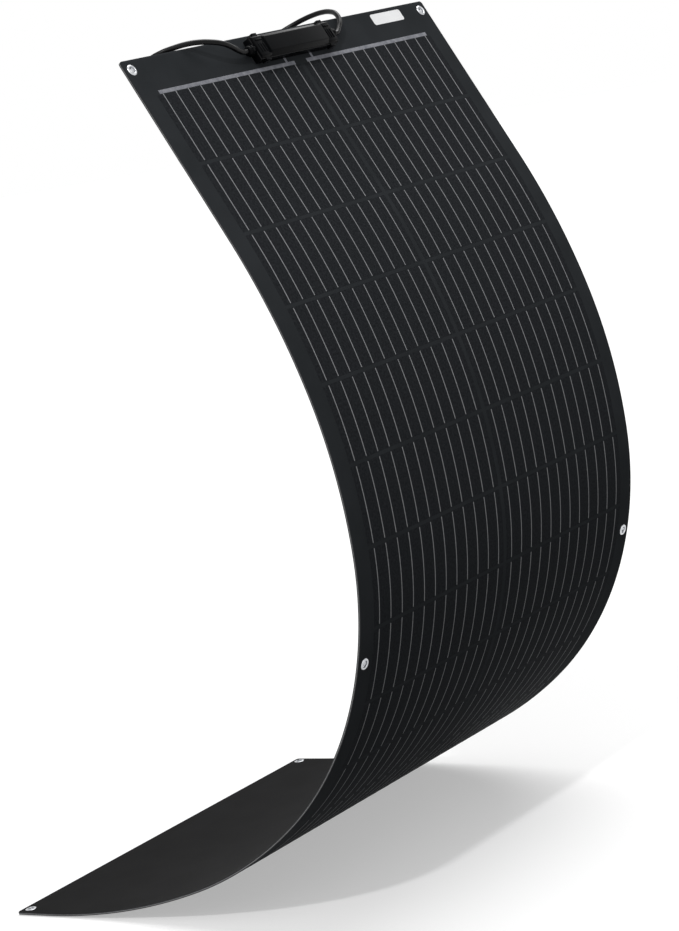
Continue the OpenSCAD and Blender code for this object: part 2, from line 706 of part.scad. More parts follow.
back_sheet(0);  // back_sheet_1
back_sheet(1);  // back_sheet_2
back_sheet(2);  // back_sheet_3
back_sheet(3);  // back_sheet_4
back_sheet(4);  // back_sheet_5
back_sheet(5);  // back_sheet_6
back_sheet(6);  // back_sheet_7
cells(0);  // cells_1
cells(1);  // cells_2
cells(2);  // cells_3
cells(3);  // cells_4
cells(4);  // cells_5
cells(5);  // cells_6
cells(6);  // cells_7
collector_wires(0);  // wires_1
collector_wires(1);  // wires_2
collector_wires(2);  // wires_3
collector_wires(3);  // wires_4
collector_wires(4);  // wires_5
collector_wires(5);  // wires_6
collector_wires(6);  // wires_7
front_film(0);  // front_film_1
front_film(1);  // front_film_2
front_film(2);  // front_film_3
front_film(3);  // front_film_4
front_film(4);  // front_film_5
front_film(5);  // front_film_6
front_film(6);  // front_film_7
ribbon(foot_ribbon_at, -ribbon_end, ribbon_end);  // foot_ribbon
ribbon(head_ribbon_at, -ribbon_end, -ribbon_gap / 2);  // head_ribbon_left
ribbon(head_ribbon_at, ribbon_gap / 2, ribbon_end);  // head_ribbon_right
lead_tabs();
eyelets(0);  // foot_eyelets
eyelets(1);  // mid_eyelets
eyelets(2);  // head_eyelets
washers(0);  // foot_washers
washers(1);  // mid_washers
washers(2);  // head_washers
label();
box_pad();
box_base();
box_seal();
box_lid();
terminal(1);  // terminal_left
terminal(0);  // terminal_right
bypass_diode();
cord_tails();
gland_seals();
gland_nut(1);  // gland_nut_left
gland_nut(0);  // gland_nut_right
cord(box_point(-gland_end), [-1, 0, 0], left_route, left_coil);  // cord_left
cord(box_point(gland_end), [1, 0, 0], right_route, right_coil);  // cord_right
coil(left_coil);  // coil_left
coil(right_coil);  // coil_right
coil_tie();
plug_body();
plug_nut();
socket_body();
socket_nut();
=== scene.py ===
import math

import bmesh
import bpy
from mathutils import Matrix, Vector


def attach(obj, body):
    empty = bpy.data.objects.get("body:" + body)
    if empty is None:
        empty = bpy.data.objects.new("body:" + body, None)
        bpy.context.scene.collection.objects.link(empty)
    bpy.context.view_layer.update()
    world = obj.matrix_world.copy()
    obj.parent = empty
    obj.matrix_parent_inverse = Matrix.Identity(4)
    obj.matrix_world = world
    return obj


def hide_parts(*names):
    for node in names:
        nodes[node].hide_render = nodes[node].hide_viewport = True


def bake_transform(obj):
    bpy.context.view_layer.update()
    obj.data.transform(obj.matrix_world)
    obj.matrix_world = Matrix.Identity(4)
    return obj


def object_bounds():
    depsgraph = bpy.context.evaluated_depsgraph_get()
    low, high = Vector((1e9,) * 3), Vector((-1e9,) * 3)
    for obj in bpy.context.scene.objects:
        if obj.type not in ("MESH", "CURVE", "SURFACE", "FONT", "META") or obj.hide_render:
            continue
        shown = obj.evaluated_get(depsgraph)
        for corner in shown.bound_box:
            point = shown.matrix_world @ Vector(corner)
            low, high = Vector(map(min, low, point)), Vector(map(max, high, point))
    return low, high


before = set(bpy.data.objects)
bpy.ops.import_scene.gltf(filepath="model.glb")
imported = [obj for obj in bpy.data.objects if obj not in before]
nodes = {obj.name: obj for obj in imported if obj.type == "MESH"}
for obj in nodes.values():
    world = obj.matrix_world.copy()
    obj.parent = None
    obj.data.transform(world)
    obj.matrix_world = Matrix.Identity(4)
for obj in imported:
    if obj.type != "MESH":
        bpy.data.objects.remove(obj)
cad_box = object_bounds()
scene = bpy.context.scene
scene.view_settings.view_transform = "Standard"
mm = 0.001


# ---- Camera, light and floor ----
# A long lens looks down a little on the sheet from its left, and the picture is tilted.
# One broad lamp hangs overhead and a little behind, a soft one without a shadow stands in
# front, and the plain surroundings fill in. A small far lamp puts glints on what is glossy.
lens_view = bpy.data.cameras.new("camera")
lens_view.sensor_width = 36
lens_view.lens = 107.17
lens_view.clip_end = 30
camera = bpy.data.objects.new("camera", lens_view)
scene.collection.objects.link(camera)
camera_place = (-2.0591, -1.9341, 0.7802)
heading, dip, tilt = (math.radians(angle) for angle in (51.828, 8.809, -11.705))
camera.matrix_world = (
    Matrix.Translation(camera_place)
    @ Matrix.Rotation(-heading, 4, "Z")
    @ Matrix.Rotation(math.pi / 2 - dip, 4, "X")
    @ Matrix.Rotation(tilt, 4, "Z")
)
scene.camera = camera

for lamp_name, energy, width, towards in (
    ("overhead_lamp", 2.1, 44, (0.56, 0.06, 0.83)),
    ("front_lamp", 1.0, 60, (-0.38, -0.66, 0.65)),
    ("glint_lamp", 0.9, 3, (-0.55, -0.25, 0.8)),
):
    light = bpy.data.lights.new(lamp_name, "SUN")
    light.energy = energy
    light.angle = math.radians(width)
    light.use_shadow = lamp_name != "front_lamp"
    lamp = bpy.data.objects.new(lamp_name, light)
    scene.collection.objects.link(lamp)
    lamp.rotation_euler = Vector(towards).to_track_quat("Z", "Y").to_euler()

fill_level = 0.28
world = bpy.data.worlds.new("surroundings")
scene.world = world
world.use_nodes = True
sky = world.node_tree.nodes["Background"]
sky.inputs["Color"].default_value = (1, 1, 1, 1)


def seen_directly(tree):
    """A value that is 1 for what the camera, a mirror or glass shows, and 0 for fill light"""
    path = tree.nodes.new("ShaderNodeLightPath")
    shiny = tree.nodes.new("ShaderNodeMath")
    shiny.operation = "MAXIMUM"
    tree.links.new(path.outputs["Is Glossy Ray"], shiny.inputs[0])
    tree.links.new(path.outputs["Is Transmission Ray"], shiny.inputs[1])
    either = tree.nodes.new("ShaderNodeMath")
    either.operation = "MAXIMUM"
    tree.links.new(path.outputs["Is Camera Ray"], either.inputs[0])
    tree.links.new(shiny.outputs[0], either.inputs[1])
    return either.outputs[0]


level = world.node_tree.nodes.new("ShaderNodeMapRange")
level.inputs["To Min"].default_value = fill_level
level.inputs["To Max"].default_value = 1
world.node_tree.links.new(seen_directly(world.node_tree), level.inputs["Value"])
world.node_tree.links.new(level.outputs["Result"], sky.inputs["Strength"])


def object_from(name, bm, *materials):
    """An object at the origin, with this mesh and these materials"""
    mesh = bpy.data.meshes.new(name)
    bm.to_mesh(mesh)
    bm.free()
    for finish in materials:
        mesh.materials.append(finish)
    piece = bpy.data.objects.new(name, mesh)
    scene.collection.objects.link(piece)
    return piece


floor_half = 14
floor_dull = 0.07
glow_share = 0.36
floor_paint = bpy.data.materials.new("floor_paint")
floor_paint.use_nodes = True
tree = floor_paint.node_tree
tree.nodes.clear()
dull = tree.nodes.new("ShaderNodeBsdfDiffuse")
dull.inputs["Color"].default_value = (floor_dull, floor_dull, floor_dull, 1)
pale = tree.nodes.new("ShaderNodeBsdfDiffuse")
pale.inputs["Color"].default_value = (1, 1, 1, 1)
glow = tree.nodes.new("ShaderNodeEmission")
glow.inputs["Strength"].default_value = 1
pale_mix = tree.nodes.new("ShaderNodeMixShader")
pale_mix.inputs[0].default_value = glow_share
tree.links.new(pale.outputs[0], pale_mix.inputs[1])
tree.links.new(glow.outputs[0], pale_mix.inputs[2])
ray_mix = tree.nodes.new("ShaderNodeMixShader")
tree.links.new(seen_directly(tree), ray_mix.inputs[0])
tree.links.new(dull.outputs[0], ray_mix.inputs[1])
tree.links.new(pale_mix.outputs[0], ray_mix.inputs[2])
floor_out = tree.nodes.new("ShaderNodeOutputMaterial")
tree.links.new(ray_mix.outputs[0], floor_out.inputs["Surface"])

bm = bmesh.new()
floor_level = Matrix.Translation((0, 0, cad_box[0][2]))
bmesh.ops.create_grid(bm, x_segments=1, y_segments=1, size=floor_half, matrix=floor_level)
floor = object_from("floor", bm, floor_paint)


# ---- Backing board ----
# A dark glass-fibre laminate under a clear dimpled film, pressed into one sheet, then bent.
# Everything in it is laid out flat, as it is laminated, and carried onto the bend after that.
sheet_w = 465 * mm
sheet_t = 2.5 * mm
front = sheet_t / 2
foot_edge_y = 10 * mm
# The lengths along the sheet and the degrees that each turns through, from the foot edge up
stretches = ((40, 0), (202, 16.5), (146, 19.5), (146, 26), (146, 25), (146, 16.5), (146, 12.5), (183, 0))
row_pitch = 73 * mm
foot_cells = 24.5 * mm
sheet_l = sum(length for length, turn in stretches) * mm
half_gap = 1.5 * mm
# A zone reaches from one gap between two rows to the next but one, with a bend line in its middle
zone_ends = [0, *(foot_cells - half_gap + row_pitch * rows for rows in range(2, 15, 2)), sheet_l]
zone_count = len(zone_ends) - 1
corner_r = 3 * mm
edge_r = 0.3 * mm
rim_w = 1.2 * mm
facet_l = 4.9 * mm
stripe_low = -0.25 * mm
stripe_high = 0.35 * mm


def place_on_sheet(x, up, out):
    """The frame at a point of the sheet: X stays, Y runs up the sheet and Z out of its cell side"""
    y, z, angle = foot_edge_y, 0.0, math.pi
    for length, degrees in stretches:
        part = min(up / (length * mm), 1)
        turn = math.radians(degrees) * part
        chord = length * mm * part * (math.sin(turn / 2) / (turn / 2) if turn else 1)
        y += chord * math.cos(angle - turn / 2)
        z += chord * math.sin(angle - turn / 2)
        angle -= turn
        up -= length * mm * part
        if up < 1e-9:
            break
    return Matrix.Translation((x, y, z)) @ Matrix.Rotation(angle, 4, "X") @ Matrix.Translation((0, 0, out))


def bend_flat_mesh(bm):
    """Notes where each point lies on the flat sheet, as UVs in metres, and carries it onto the bend"""
    flat = bm.loops.layers.uv.new("flat_sheet")
    for face in bm.faces:
        for loop in face.loops:
            loop[flat].uv = loop.vert.co.xy
    for vert in bm.verts:
        vert.co = place_on_sheet(*vert.co).translation


def cut_across(bm, value, axis):
    """Cuts the flat mesh along one line, square to X (0), Y (1) or Z (2)"""
    normal = Vector((0, 0, 0))
    normal[axis] = 1
    bmesh.ops.bisect_plane(
        bm, geom=bm.verts[:] + bm.edges[:] + bm.faces[:],
        plane_co=normal * value, plane_no=normal, dist=1e-7,
    )


def cut_facets(bm, low, high):
    """Cuts the flat mesh into short facets between two distances from the foot edge"""
    count = round((high - low) / facet_l)
    for line in range(1, count):
        cut_across(bm, low + (high - low) * line / count, 1)


def add_block(bm, low, high):
    """Adds a closed block between two corners, and returns its points"""
    low, high = Vector(low), Vector(high)
    size = high - low
    made = bmesh.ops.create_cube(
        bm, size=1, matrix=Matrix.Translation((low + high) / 2) @ Matrix.Diagonal((*size, 1))
    )
    return made["verts"]


def edges_of(verts):
    """The edges with both ends among these points"""
    kept = set(verts)
    return list({edge for vert in verts for edge in vert.link_edges if set(edge.verts) <= kept})


def bevel(bm, edges, width, segments):
    """Rounds these edges off"""
    bmesh.ops.bevel(
        bm, geom=edges, offset=width, segments=segments, affect="EDGES", profile=0.5, material=-1
    )


def runs_along(edge, axis):
    """Whether an edge is parallel to X (0), Y (1) or Z (2)"""
    way = (edge.verts[1].co - edge.verts[0].co).normalized()
    return abs(way[axis]) > 0.99


def smooth(piece, sharp_degrees=32):
    """Smooth shading, with the real corners kept"""
    piece.data.shade_smooth()
    piece.data.set_sharp_from_angle(angle=math.radians(sharp_degrees))
    return piece


def field_of(zone):
    """The number of the field whose solids a zone stands for"""
    return min(zone + 1, zone_count - 1)


def goes_with_zone(piece, zone):
    """The lowest and the highest zone are on one field, and the others keep their place, baked into their
    mesh
    """
    if zone == 0:
        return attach(piece, "field_1")
    if zone == zone_count - 1:
        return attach(piece, f"field_{zone}")
    start = place_on_sheet(0, zone_ends[zone], 0).translation
    end = place_on_sheet(0, zone_ends[zone + 1], 0).translation
    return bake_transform(piece)


def plain_material(name, color, roughness, metallic=0.0, specular=0.5):
    """A material with its shader, and the shader itself"""
    finish = bpy.data.materials.new(name)
    finish.use_nodes = True
    shader = finish.node_tree.nodes["Principled BSDF"]
    shader.inputs["Base Color"].default_value = (*color, 1)
    shader.inputs["Roughness"].default_value = roughness
    shader.inputs["Metallic"].default_value = metallic
    shader.inputs["Specular IOR Level"].default_value = specular
    return finish, shader


def group_with(name, inputs, outputs):
    """An empty node group with these number inputs and outputs, and its two end nodes"""
    group = bpy.data.node_groups.new(name, "ShaderNodeTree")
    for label, value in inputs.items():
        socket = group.interface.new_socket(name=label, in_out="INPUT", socket_type="NodeSocketFloat")
        socket.default_value = value
    for label in outputs:
        group.interface.new_socket(name=label, in_out="OUTPUT", socket_type="NodeSocketFloat")
    return group, group.nodes.new("NodeGroupInput"), group.nodes.new("NodeGroupOutput")


# The film is embossed all over with small round dimples, set out on the flat sheet
dimples, given, given_out = group_with("film_dimples", {"Pitch": 0.0013}, ["Height", "Speckle"])
flat_place = dimples.nodes.new("ShaderNodeTexCoord")
per_metre = dimples.nodes.new("ShaderNodeMath")
per_metre.operation = "DIVIDE"
per_metre.inputs[0].default_value = 1
dimples.links.new(given.outputs["Pitch"], per_metre.inputs[1])
pits = dimples.nodes.new("ShaderNodeTexVoronoi")
pits.voronoi_dimensions = "2D"
pits.feature = "SMOOTH_F1"
pits.inputs["Randomness"].default_value = 0.35
pits.inputs["Smoothness"].default_value = 0.4
dimples.links.new(flat_place.outputs["UV"], pits.inputs["Vector"])
dimples.links.new(per_metre.outputs[0], pits.inputs["Scale"])
dimples.links.new(pits.outputs["Distance"], given_out.inputs["Height"])
speck = dimples.nodes.new("ShaderNodeTexNoise")
speck.noise_dimensions = "2D"
speck.inputs["Detail"].default_value = 3
speck.inputs["Roughness"].default_value = 0.75
dimples.links.new(flat_place.outputs["UV"], speck.inputs["Vector"])
speck_scale = dimples.nodes.new("ShaderNodeMath")
speck_scale.operation = "MULTIPLY"
speck_scale.inputs[1].default_value = 0.7
dimples.links.new(per_metre.outputs[0], speck_scale.inputs[0])
dimples.links.new(speck_scale.outputs[0], speck.inputs["Scale"])
dimples.links.new(speck.outputs["Fac"], given_out.inputs["Speckle"])

# Moulded and woven surfaces have an uneven grain of one size
grain, given, given_out = group_with("fine_grain", {"Size": 0.001}, ["Height", "Tone"])
grain_place = grain.nodes.new("ShaderNodeTexCoord")
grain_scale = grain.nodes.new("ShaderNodeMath")
grain_scale.operation = "DIVIDE"
grain_scale.inputs[0].default_value = 1
grain.links.new(given.outputs["Size"], grain_scale.inputs[1])
fine = grain.nodes.new("ShaderNodeTexNoise")
fine.inputs["Detail"].default_value = 4
fine.inputs["Roughness"].default_value = 0.6
grain.links.new(grain_place.outputs["Object"], fine.inputs["Vector"])
grain.links.new(grain_scale.outputs[0], fine.inputs["Scale"])
grain.links.new(fine.outputs["Fac"], given_out.inputs["Height"])
broad = grain.nodes.new("ShaderNodeTexNoise")
broad.inputs["Scale"].default_value = 22
broad.inputs["Detail"].default_value = 3
grain.links.new(grain_place.outputs["Object"], broad.inputs["Vector"])
grain.links.new(broad.outputs["Fac"], given_out.inputs["Tone"])


def use_group(finish, group, **values):
    """Places a node group in a material, with these input values"""
    placed = finish.node_tree.nodes.new("ShaderNodeGroup")
    placed.node_tree = group
    for label, value in values.items():
        placed.inputs[label].default_value = value
    return placed


def two_tones(finish, shader, mask, dark, light, low=0.35, high=0.65):
    """Base colour between two tones, by a mask from a group"""
    ramp = finish.node_tree.nodes.new("ShaderNodeValToRGB")
    ramp.color_ramp.elements[0].position = low
    ramp.color_ramp.elements[0].color = (*dark, 1)
    ramp.color_ramp.elements[1].position = high
    ramp.color_ramp.elements[1].color = (*light, 1)
    finish.node_tree.links.new(mask, ramp.inputs["Fac"])
    finish.node_tree.links.new(ramp.outputs["Color"], shader.inputs["Base Color"])


def bumps(finish, shader, height, depth, strength=1.0):
    """Surface relief of this depth in metres, by a height from a group"""
    bump = finish.node_tree.nodes.new("ShaderNodeBump")
    bump.inputs["Strength"].default_value = strength
    bump.inputs["Distance"].default_value = depth
    finish.node_tree.links.new(height, bump.inputs["Height"])
    finish.node_tree.links.new(bump.outputs["Normal"], shader.inputs["Normal"])


def uneven_gloss(finish, shader, mask, low, high):
    """Roughness between two values, by a mask from a group"""
    spread = finish.node_tree.nodes.new("ShaderNodeMapRange")
    spread.inputs["To Min"].default_value = low
    spread.inputs["To Max"].default_value = high
    finish.node_tree.links.new(mask, spread.inputs["Value"])
    finish.node_tree.links.new(spread.outputs["Result"], shader.inputs["Roughness"])


film_over_board, shader = plain_material("film_over_board", (0.027, 0.030, 0.032), 0.75, specular=0.008)
film = use_group(film_over_board, dimples)
cloud = use_group(film_over_board, grain, Size=0.012)
two_tones(
    film_over_board, shader, cloud.outputs["Tone"], (0.0245, 0.0270, 0.0294), (0.0294, 0.0321, 0.0351)
)
uneven_gloss(film_over_board, shader, cloud.outputs["Height"], 0.62, 0.78)
bumps(film_over_board, shader, film.outputs["Height"], 0.00006)

board_back, shader = plain_material("board_back", (0.0095, 0.0095, 0.0097), 0.75, specular=0.012)
weave = use_group(board_back, grain, Size=0.0016)
two_tones(board_back, shader, weave.outputs["Tone"], (0.0086, 0.0086, 0.0088), (0.0104, 0.0104, 0.0107))
uneven_gloss(board_back, shader, weave.outputs["Height"], 0.6, 0.75)
bumps(board_back, shader, weave.outputs["Height"], 0.00004)

board_edge, shader = plain_material("board_edge", (0.016, 0.016, 0.017), 0.6, specular=0.3)
fray = use_group(board_edge, grain, Size=0.0008)
two_tones(board_edge, shader, fray.outputs["Height"], (0.012, 0.012, 0.013), (0.024, 0.024, 0.026))
bumps(board_edge, shader, fray.outputs["Height"], 0.00008)

board_stripe, shader = plain_material("board_stripe", (0.16, 0.165, 0.17), 0.5, specular=0.4)
fray = use_group(board_stripe, grain, Size=0.0015)
two_tones(board_stripe, shader, fray.outputs["Height"], (0.20, 0.205, 0.21), (0.36, 0.365, 0.37))
bumps(board_stripe, shader, fray.outputs["Height"], 0.00004)

eyelet_side = 9.5 * mm
eyelet_end = 10 * mm
eyelet_x = sheet_w / 2 - eyelet_side
eyelet_ups = (eyelet_end, sheet_l / 2, sheet_l - eyelet_end)
barrel_r = 3.6 * mm
hole_steps = 40
patch = 8 * mm


def punch_hole(bm, x, up):
    """A round hole through the flat board: the square round it opens, and a ring closes it again"""
    for value in (x - patch, x + patch):
        cut_across(bm, value, 0)
    for value in (up - patch, up + patch):
        cut_across(bm, value, 1)
    inside = [
        face for face in bm.faces
        if abs(face.normal.z) > 0.99
        and abs(face.calc_center_median().x - x) < patch
        and abs(face.calc_center_median().y - up) < patch
    ]
    bmesh.ops.delete(bm, geom=inside, context="FACES")
    rims = []
    for out in (-front, front):
        square = [
            edge for edge in bm.edges
            if edge.is_boundary
            and abs(edge.verts[0].co.z - out) < 1e-6
            and abs(edge.verts[0].co.x - x) < patch + 1e-6
        ]
        rim = bmesh.ops.create_circle(
            bm, segments=hole_steps, radius=barrel_r, matrix=Matrix.Translation((x, up, out))
        )
        rims.append(edges_of(rim["verts"]))
        bmesh.ops.triangle_fill(bm, edges=square + rims[-1], normal=(0, 0, 1), use_beauty=True)
    bmesh.ops.bridge_loops(bm, edges=rims[0] + rims[1])


def board_zone(zone):
    """One zone of the board, closed at both ends"""
    low, high = zone_ends[zone], zone_ends[zone + 1]
    bm = bmesh.new()
    add_block(bm, (-sheet_w / 2, low, -front), (sheet_w / 2, high, front))
    free_end = {0: low, zone_count - 1: high}.get(zone, -1)
    corners = [e for e in bm.edges if runs_along(e, 2) and abs(e.verts[0].co.y - free_end) < 1e-6]
    if corners:
        bevel(bm, corners, corner_r, 6)
    rim = [
        e for e in bm.edges
        if not runs_along(e, 2) and not (runs_along(e, 0) and abs(e.verts[0].co.y - free_end) > 1e-6)
    ]
    bevel(bm, rim, edge_r, 2)
    cut_across(bm, stripe_low, 2)
    cut_across(bm, stripe_high, 2)
    # A narrow rim along the sides keeps the shading of the round edge off the flat faces
    cut_across(bm, rim_w - sheet_w / 2, 0)
    cut_across(bm, sheet_w / 2 - rim_w, 0)
    cut_facets(bm, low, high)
    bm.normal_update()
    for up in eyelet_ups:
        if low < up < high:
            for side in (-1, 1):
                punch_hole(bm, side * eyelet_x, up)
    bmesh.ops.recalc_face_normals(bm, faces=bm.faces[:])
    bm.normal_update()
    for face in bm.faces:
        middle = face.calc_center_median()
        if abs(face.normal.z) > 0.5:
            face.material_index = 0 if face.normal.z > 0 else 1
        else:
            face.material_index = 3 if stripe_low < middle.z < stripe_high else 2
    bend_flat_mesh(bm)
    piece = object_from(f"board_zone_{zone}", bm, film_over_board, board_back, board_edge, board_stripe)
    smooth(piece)
    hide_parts(f"back_sheet_{field_of(zone)}", f"front_film_{field_of(zone)}")
    return goes_with_zone(piece, zone)


for zone in range(zone_count):
    board_zone(zone)


# ---- Cells ----
# Thirty near-black silicon cells, each a third of a full one, in two columns. They lie under
# the film, which follows them, so that each stands out from the board by a hair.
cell_w = 210 * mm
cell_h = 70 * mm
column_gap = 5 * mm
cell_x = (cell_w + column_gap) / 2
cell_stand = 0.04 * mm
cell_depth = 0.3 * mm
cell_slope = 0.15 * mm
row_count = 15

cell_face, shader = plain_material("cell_face", (0.020, 0.022, 0.025), 0.72, specular=0.008)
film = use_group(cell_face, dimples, Pitch=0.0016)
two_tones(
    cell_face, shader, film.outputs["Speckle"], (0.0128, 0.0140, 0.0158), (0.0265, 0.0286, 0.0317), 0.3, 0.7
)
uneven_gloss(cell_face, shader, film.outputs["Speckle"], 0.6, 0.75)
bumps(cell_face, shader, film.outputs["Height"], 0.00008)


def row_start(row):
    """How far up the sheet a row of cells begins"""
    return foot_cells + row * row_pitch


def rows_of(zone):
    """The rows of cells that lie in a zone, counted from the foot"""
    return [row for row in range(row_count) if zone_ends[zone] < row_start(row) < zone_ends[zone + 1]]


def draw_in_top(verts, slope_x, slope_y):
    """Draws the top of a block in along X and Y"""
    middle = sum((vert.co for vert in verts), Vector()) / len(verts)
    for vert in verts:
        if vert.co.z > middle.z:
            vert.co.x -= math.copysign(slope_x, vert.co.x - middle.x)
            vert.co.y -= math.copysign(slope_y, vert.co.y - middle.y)


def under_film(bm, x, width, low, high, depth, stand, slope):
    """A thin flat piece under the film, with slopes round it where the film comes down"""
    verts = add_block(bm, (x - width / 2, low, front - depth), (x + width / 2, high, front + stand))
    draw_in_top(verts, slope, slope)


for zone in range(zone_count):
    bm = bmesh.new()
    for row in rows_of(zone):
        low = row_start(row)
        for x in (-cell_x, cell_x):
            under_film(bm, x, cell_w, low, low + cell_h, cell_depth, cell_stand, cell_slope)
    cut_facets(bm, zone_ends[zone], zone_ends[zone + 1])
    bend_flat_mesh(bm)
    cells = smooth(object_from(f"cell_rows_{zone}", bm, cell_face), 20)
    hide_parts(f"cells_{field_of(zone)}")
    goes_with_zone(cells, zone)


# ---- Collector wires ----
# Twelve flat tinned wires run down each cell and stop at its ends. The top row's run on to
# the head ribbons, and the lowest row's to the foot ribbon.
wires_per_cell = 12
wire_w = 1.2 * mm
wire_bare = 0.8 * mm
wire_depth = 0.1 * mm
wire_stand = 0.12 * mm
wire_slope = 0.14 * mm
foot_ribbon_up = 19 * mm
head_ribbon_up = sheet_l - 36 * mm

wire_metal, shader = plain_material("wire_metal", (0.27, 0.275, 0.285), 0.5, specular=0.03)
film = use_group(wire_metal, dimples)
two_tones(wire_metal, shader, film.outputs["Speckle"], (0.23, 0.235, 0.245), (0.33, 0.335, 0.345))
bumps(wire_metal, shader, film.outputs["Height"], 0.00005)

wire_xs = [
    column - cell_w / 2 + (wire + 0.5) * cell_w / wires_per_cell
    for column in (-cell_x, cell_x)
    for wire in range(wires_per_cell)
]
for zone in range(zone_count):
    bm = bmesh.new()
    for row in rows_of(zone):
        low = foot_ribbon_up if row == 0 else row_start(row) + wire_bare
        high = head_ribbon_up if row == row_count - 1 else row_start(row) + cell_h - wire_bare
        for x in wire_xs:
            under_film(bm, x, wire_w, low, high, wire_depth, wire_stand, wire_slope)
    cut_facets(bm, zone_ends[zone], zone_ends[zone + 1])
    bend_flat_mesh(bm)
    wires = object_from(f"wire_rows_{zone}", bm, wire_metal)
    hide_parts(f"wires_{field_of(zone)}")
    goes_with_zone(wires, zone)


# ---- Bus ribbons and lead tabs ----
# Tinned copper ribbons, soldered to the ends of the wires. The head ribbon is in two parts,
# each with a short tab that runs under the junction box and rises into it.
ribbon_w = 4 * mm
ribbon_end = 207.5 * mm
ribbon_gap = 18 * mm
ribbon_depth = 0.1 * mm
ribbon_stand = 0.16 * mm
ribbon_slope = 0.2 * mm
solder_size = (1.3 * mm, 1.5 * mm, 0.1 * mm)
tab_x = 20 * mm
tab_w = 3 * mm
tab_l = 9 * mm
tab_stand = 0.2 * mm
tab_slope = 0.15 * mm

ribbon_metal, shader = plain_material("ribbon_metal", (0.16, 0.165, 0.185), 0.5, specular=0.15)
film = use_group(ribbon_metal, dimples)
cloud = use_group(ribbon_metal, grain, Size=0.006)
two_tones(ribbon_metal, shader, cloud.outputs["Height"], (0.16, 0.165, 0.19), (0.26, 0.265, 0.29))
bumps(ribbon_metal, shader, film.outputs["Height"], 0.00007)


def ribbon(name, node, up, x0, x1, body):
    """One bus ribbon, with a low blob of solder where each wire meets it"""
    bm = bmesh.new()
    low, high = up - ribbon_w / 2, up + ribbon_w / 2
    under_film(bm, (x0 + x1) / 2, x1 - x0, low, high, ribbon_depth, ribbon_stand, ribbon_slope)
    for x in wire_xs:
        if x0 - wire_w < x < x1 + wire_w:
            place = Matrix.Translation((x, up, front + ribbon_stand)) @ Matrix.Diagonal((*solder_size, 1))
            bmesh.ops.create_uvsphere(bm, u_segments=12, v_segments=6, radius=1, matrix=place)
    bend_flat_mesh(bm)
    piece = smooth(object_from(name, bm, ribbon_metal), 20)
    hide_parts(node)
    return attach(piece, body)


ribbon("bus_ribbon_foot", "foot_ribbon", foot_ribbon_up, -ribbon_end, ribbon_end, "field_1")
ribbon("bus_ribbon_head_left", "head_ribbon_left", head_ribbon_up, -ribbon_end, -ribbon_gap / 2, "field_7")
ribbon("bus_ribbon_head_right", "head_ribbon_right", head_ribbon_up, ribbon_gap / 2, ribbon_end, "field_7")

bm = bmesh.new()
for x in (-tab_x, tab_x):
    under_film(
        bm, x, tab_w, head_ribbon_up, head_ribbon_up + tab_l, ribbon_depth, tab_stand, tab_slope
    )
bend_flat_mesh(bm)
tabs = object_from("bus_tabs", bm, ribbon_metal)
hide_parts("lead_tabs")
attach(tabs, "field_7")


# ---- Eyelets and washers ----
# Six plated brass eyelets, pressed through the edge of the sheet: a domed flange in front,
# and behind it a washer with the barrel rolled over it.
flange_r = 5.4 * mm
flange_h = 0.8 * mm
hole_r = 3.1 * mm
washer_t = 0.6 * mm

plated, shader = plain_material("plated", (0.80, 0.81, 0.83), 0.14, metallic=1.0)
wear = use_group(plated, grain, Size=0.0022)
two_tones(plated, shader, wear.outputs["Tone"], (0.42, 0.43, 0.45), (0.66, 0.67, 0.69))
uneven_gloss(plated, shader, wear.outputs["Height"], 0.08, 0.24)
bumps(plated, shader, wear.outputs["Height"], 0.00003)

back = -front - washer_t
flange_outline = (
    (hole_r, back - 0.2 * mm), (hole_r, front + 0.25 * mm), (hole_r + 0.2 * mm, front + 0.6 * mm),
    (hole_r + 0.65 * mm, front + flange_h), (hole_r + 1.2 * mm, front + flange_h * 0.97),
    (hole_r + 1.75 * mm, front + flange_h * 0.72), (hole_r + 2.15 * mm, front + flange_h * 0.32),
    (flange_r, front), (barrel_r, front), (barrel_r, back),
    (barrel_r + 0.45 * mm, back - 0.05 * mm), (barrel_r + 0.35 * mm, back - 0.35 * mm),
    (barrel_r - 0.1 * mm, back - 0.48 * mm), (hole_r + 0.1 * mm, back - 0.42 * mm),
)
washer_outline = (
    (barrel_r, back + 0.05 * mm), (flange_r - 0.25 * mm, back + 0.05 * mm), (flange_r, back + 0.2 * mm),
    (flange_r, -front - 0.15 * mm), (barrel_r, -front - 0.15 * mm),
)


def turned(bm, outline, place, steps=56):
    """A closed turned shape: its outline, a ring of radius and height, goes once round"""
    verts = [bm.verts.new((radius, 0, height)) for radius, height in outline]
    edges = [bm.edges.new((verts[i], verts[(i + 1) % len(verts)])) for i in range(len(verts))]
    bmesh.ops.spin(
        bm, geom=verts + edges, cent=(0, 0, 0), axis=(0, 0, 1), angle=math.tau,
        steps=steps, use_merge=True,
    )
    bmesh.ops.remove_doubles(bm, verts=bm.verts[:], dist=1e-6)
    bmesh.ops.transform(bm, matrix=place, verts=bm.verts[:])
    bmesh.ops.recalc_face_normals(bm, faces=bm.faces[:])


def add_part(whole, part):
    """Puts a mesh into another, and frees it"""
    kept = bpy.data.meshes.new("part")
    part.to_mesh(kept)
    part.free()
    whole.from_mesh(kept)
    bpy.data.meshes.remove(kept)


for place_name, up, zone in zip(("foot", "mid", "head"), eyelet_ups, (0, 3, zone_count - 1)):
    for kind, outline in (("eyelets", flange_outline), ("washers", washer_outline)):
        bm = bmesh.new()
        for side in (-1, 1):
            ring = bmesh.new()
            turned(ring, outline, place_on_sheet(side * eyelet_x, up, 0))
            add_part(bm, ring)
        pair = smooth(object_from(f"{place_name}_{kind}_pair", bm, plated), 50)
        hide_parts(f"{place_name}_{kind}")
        goes_with_zone(pair, zone)


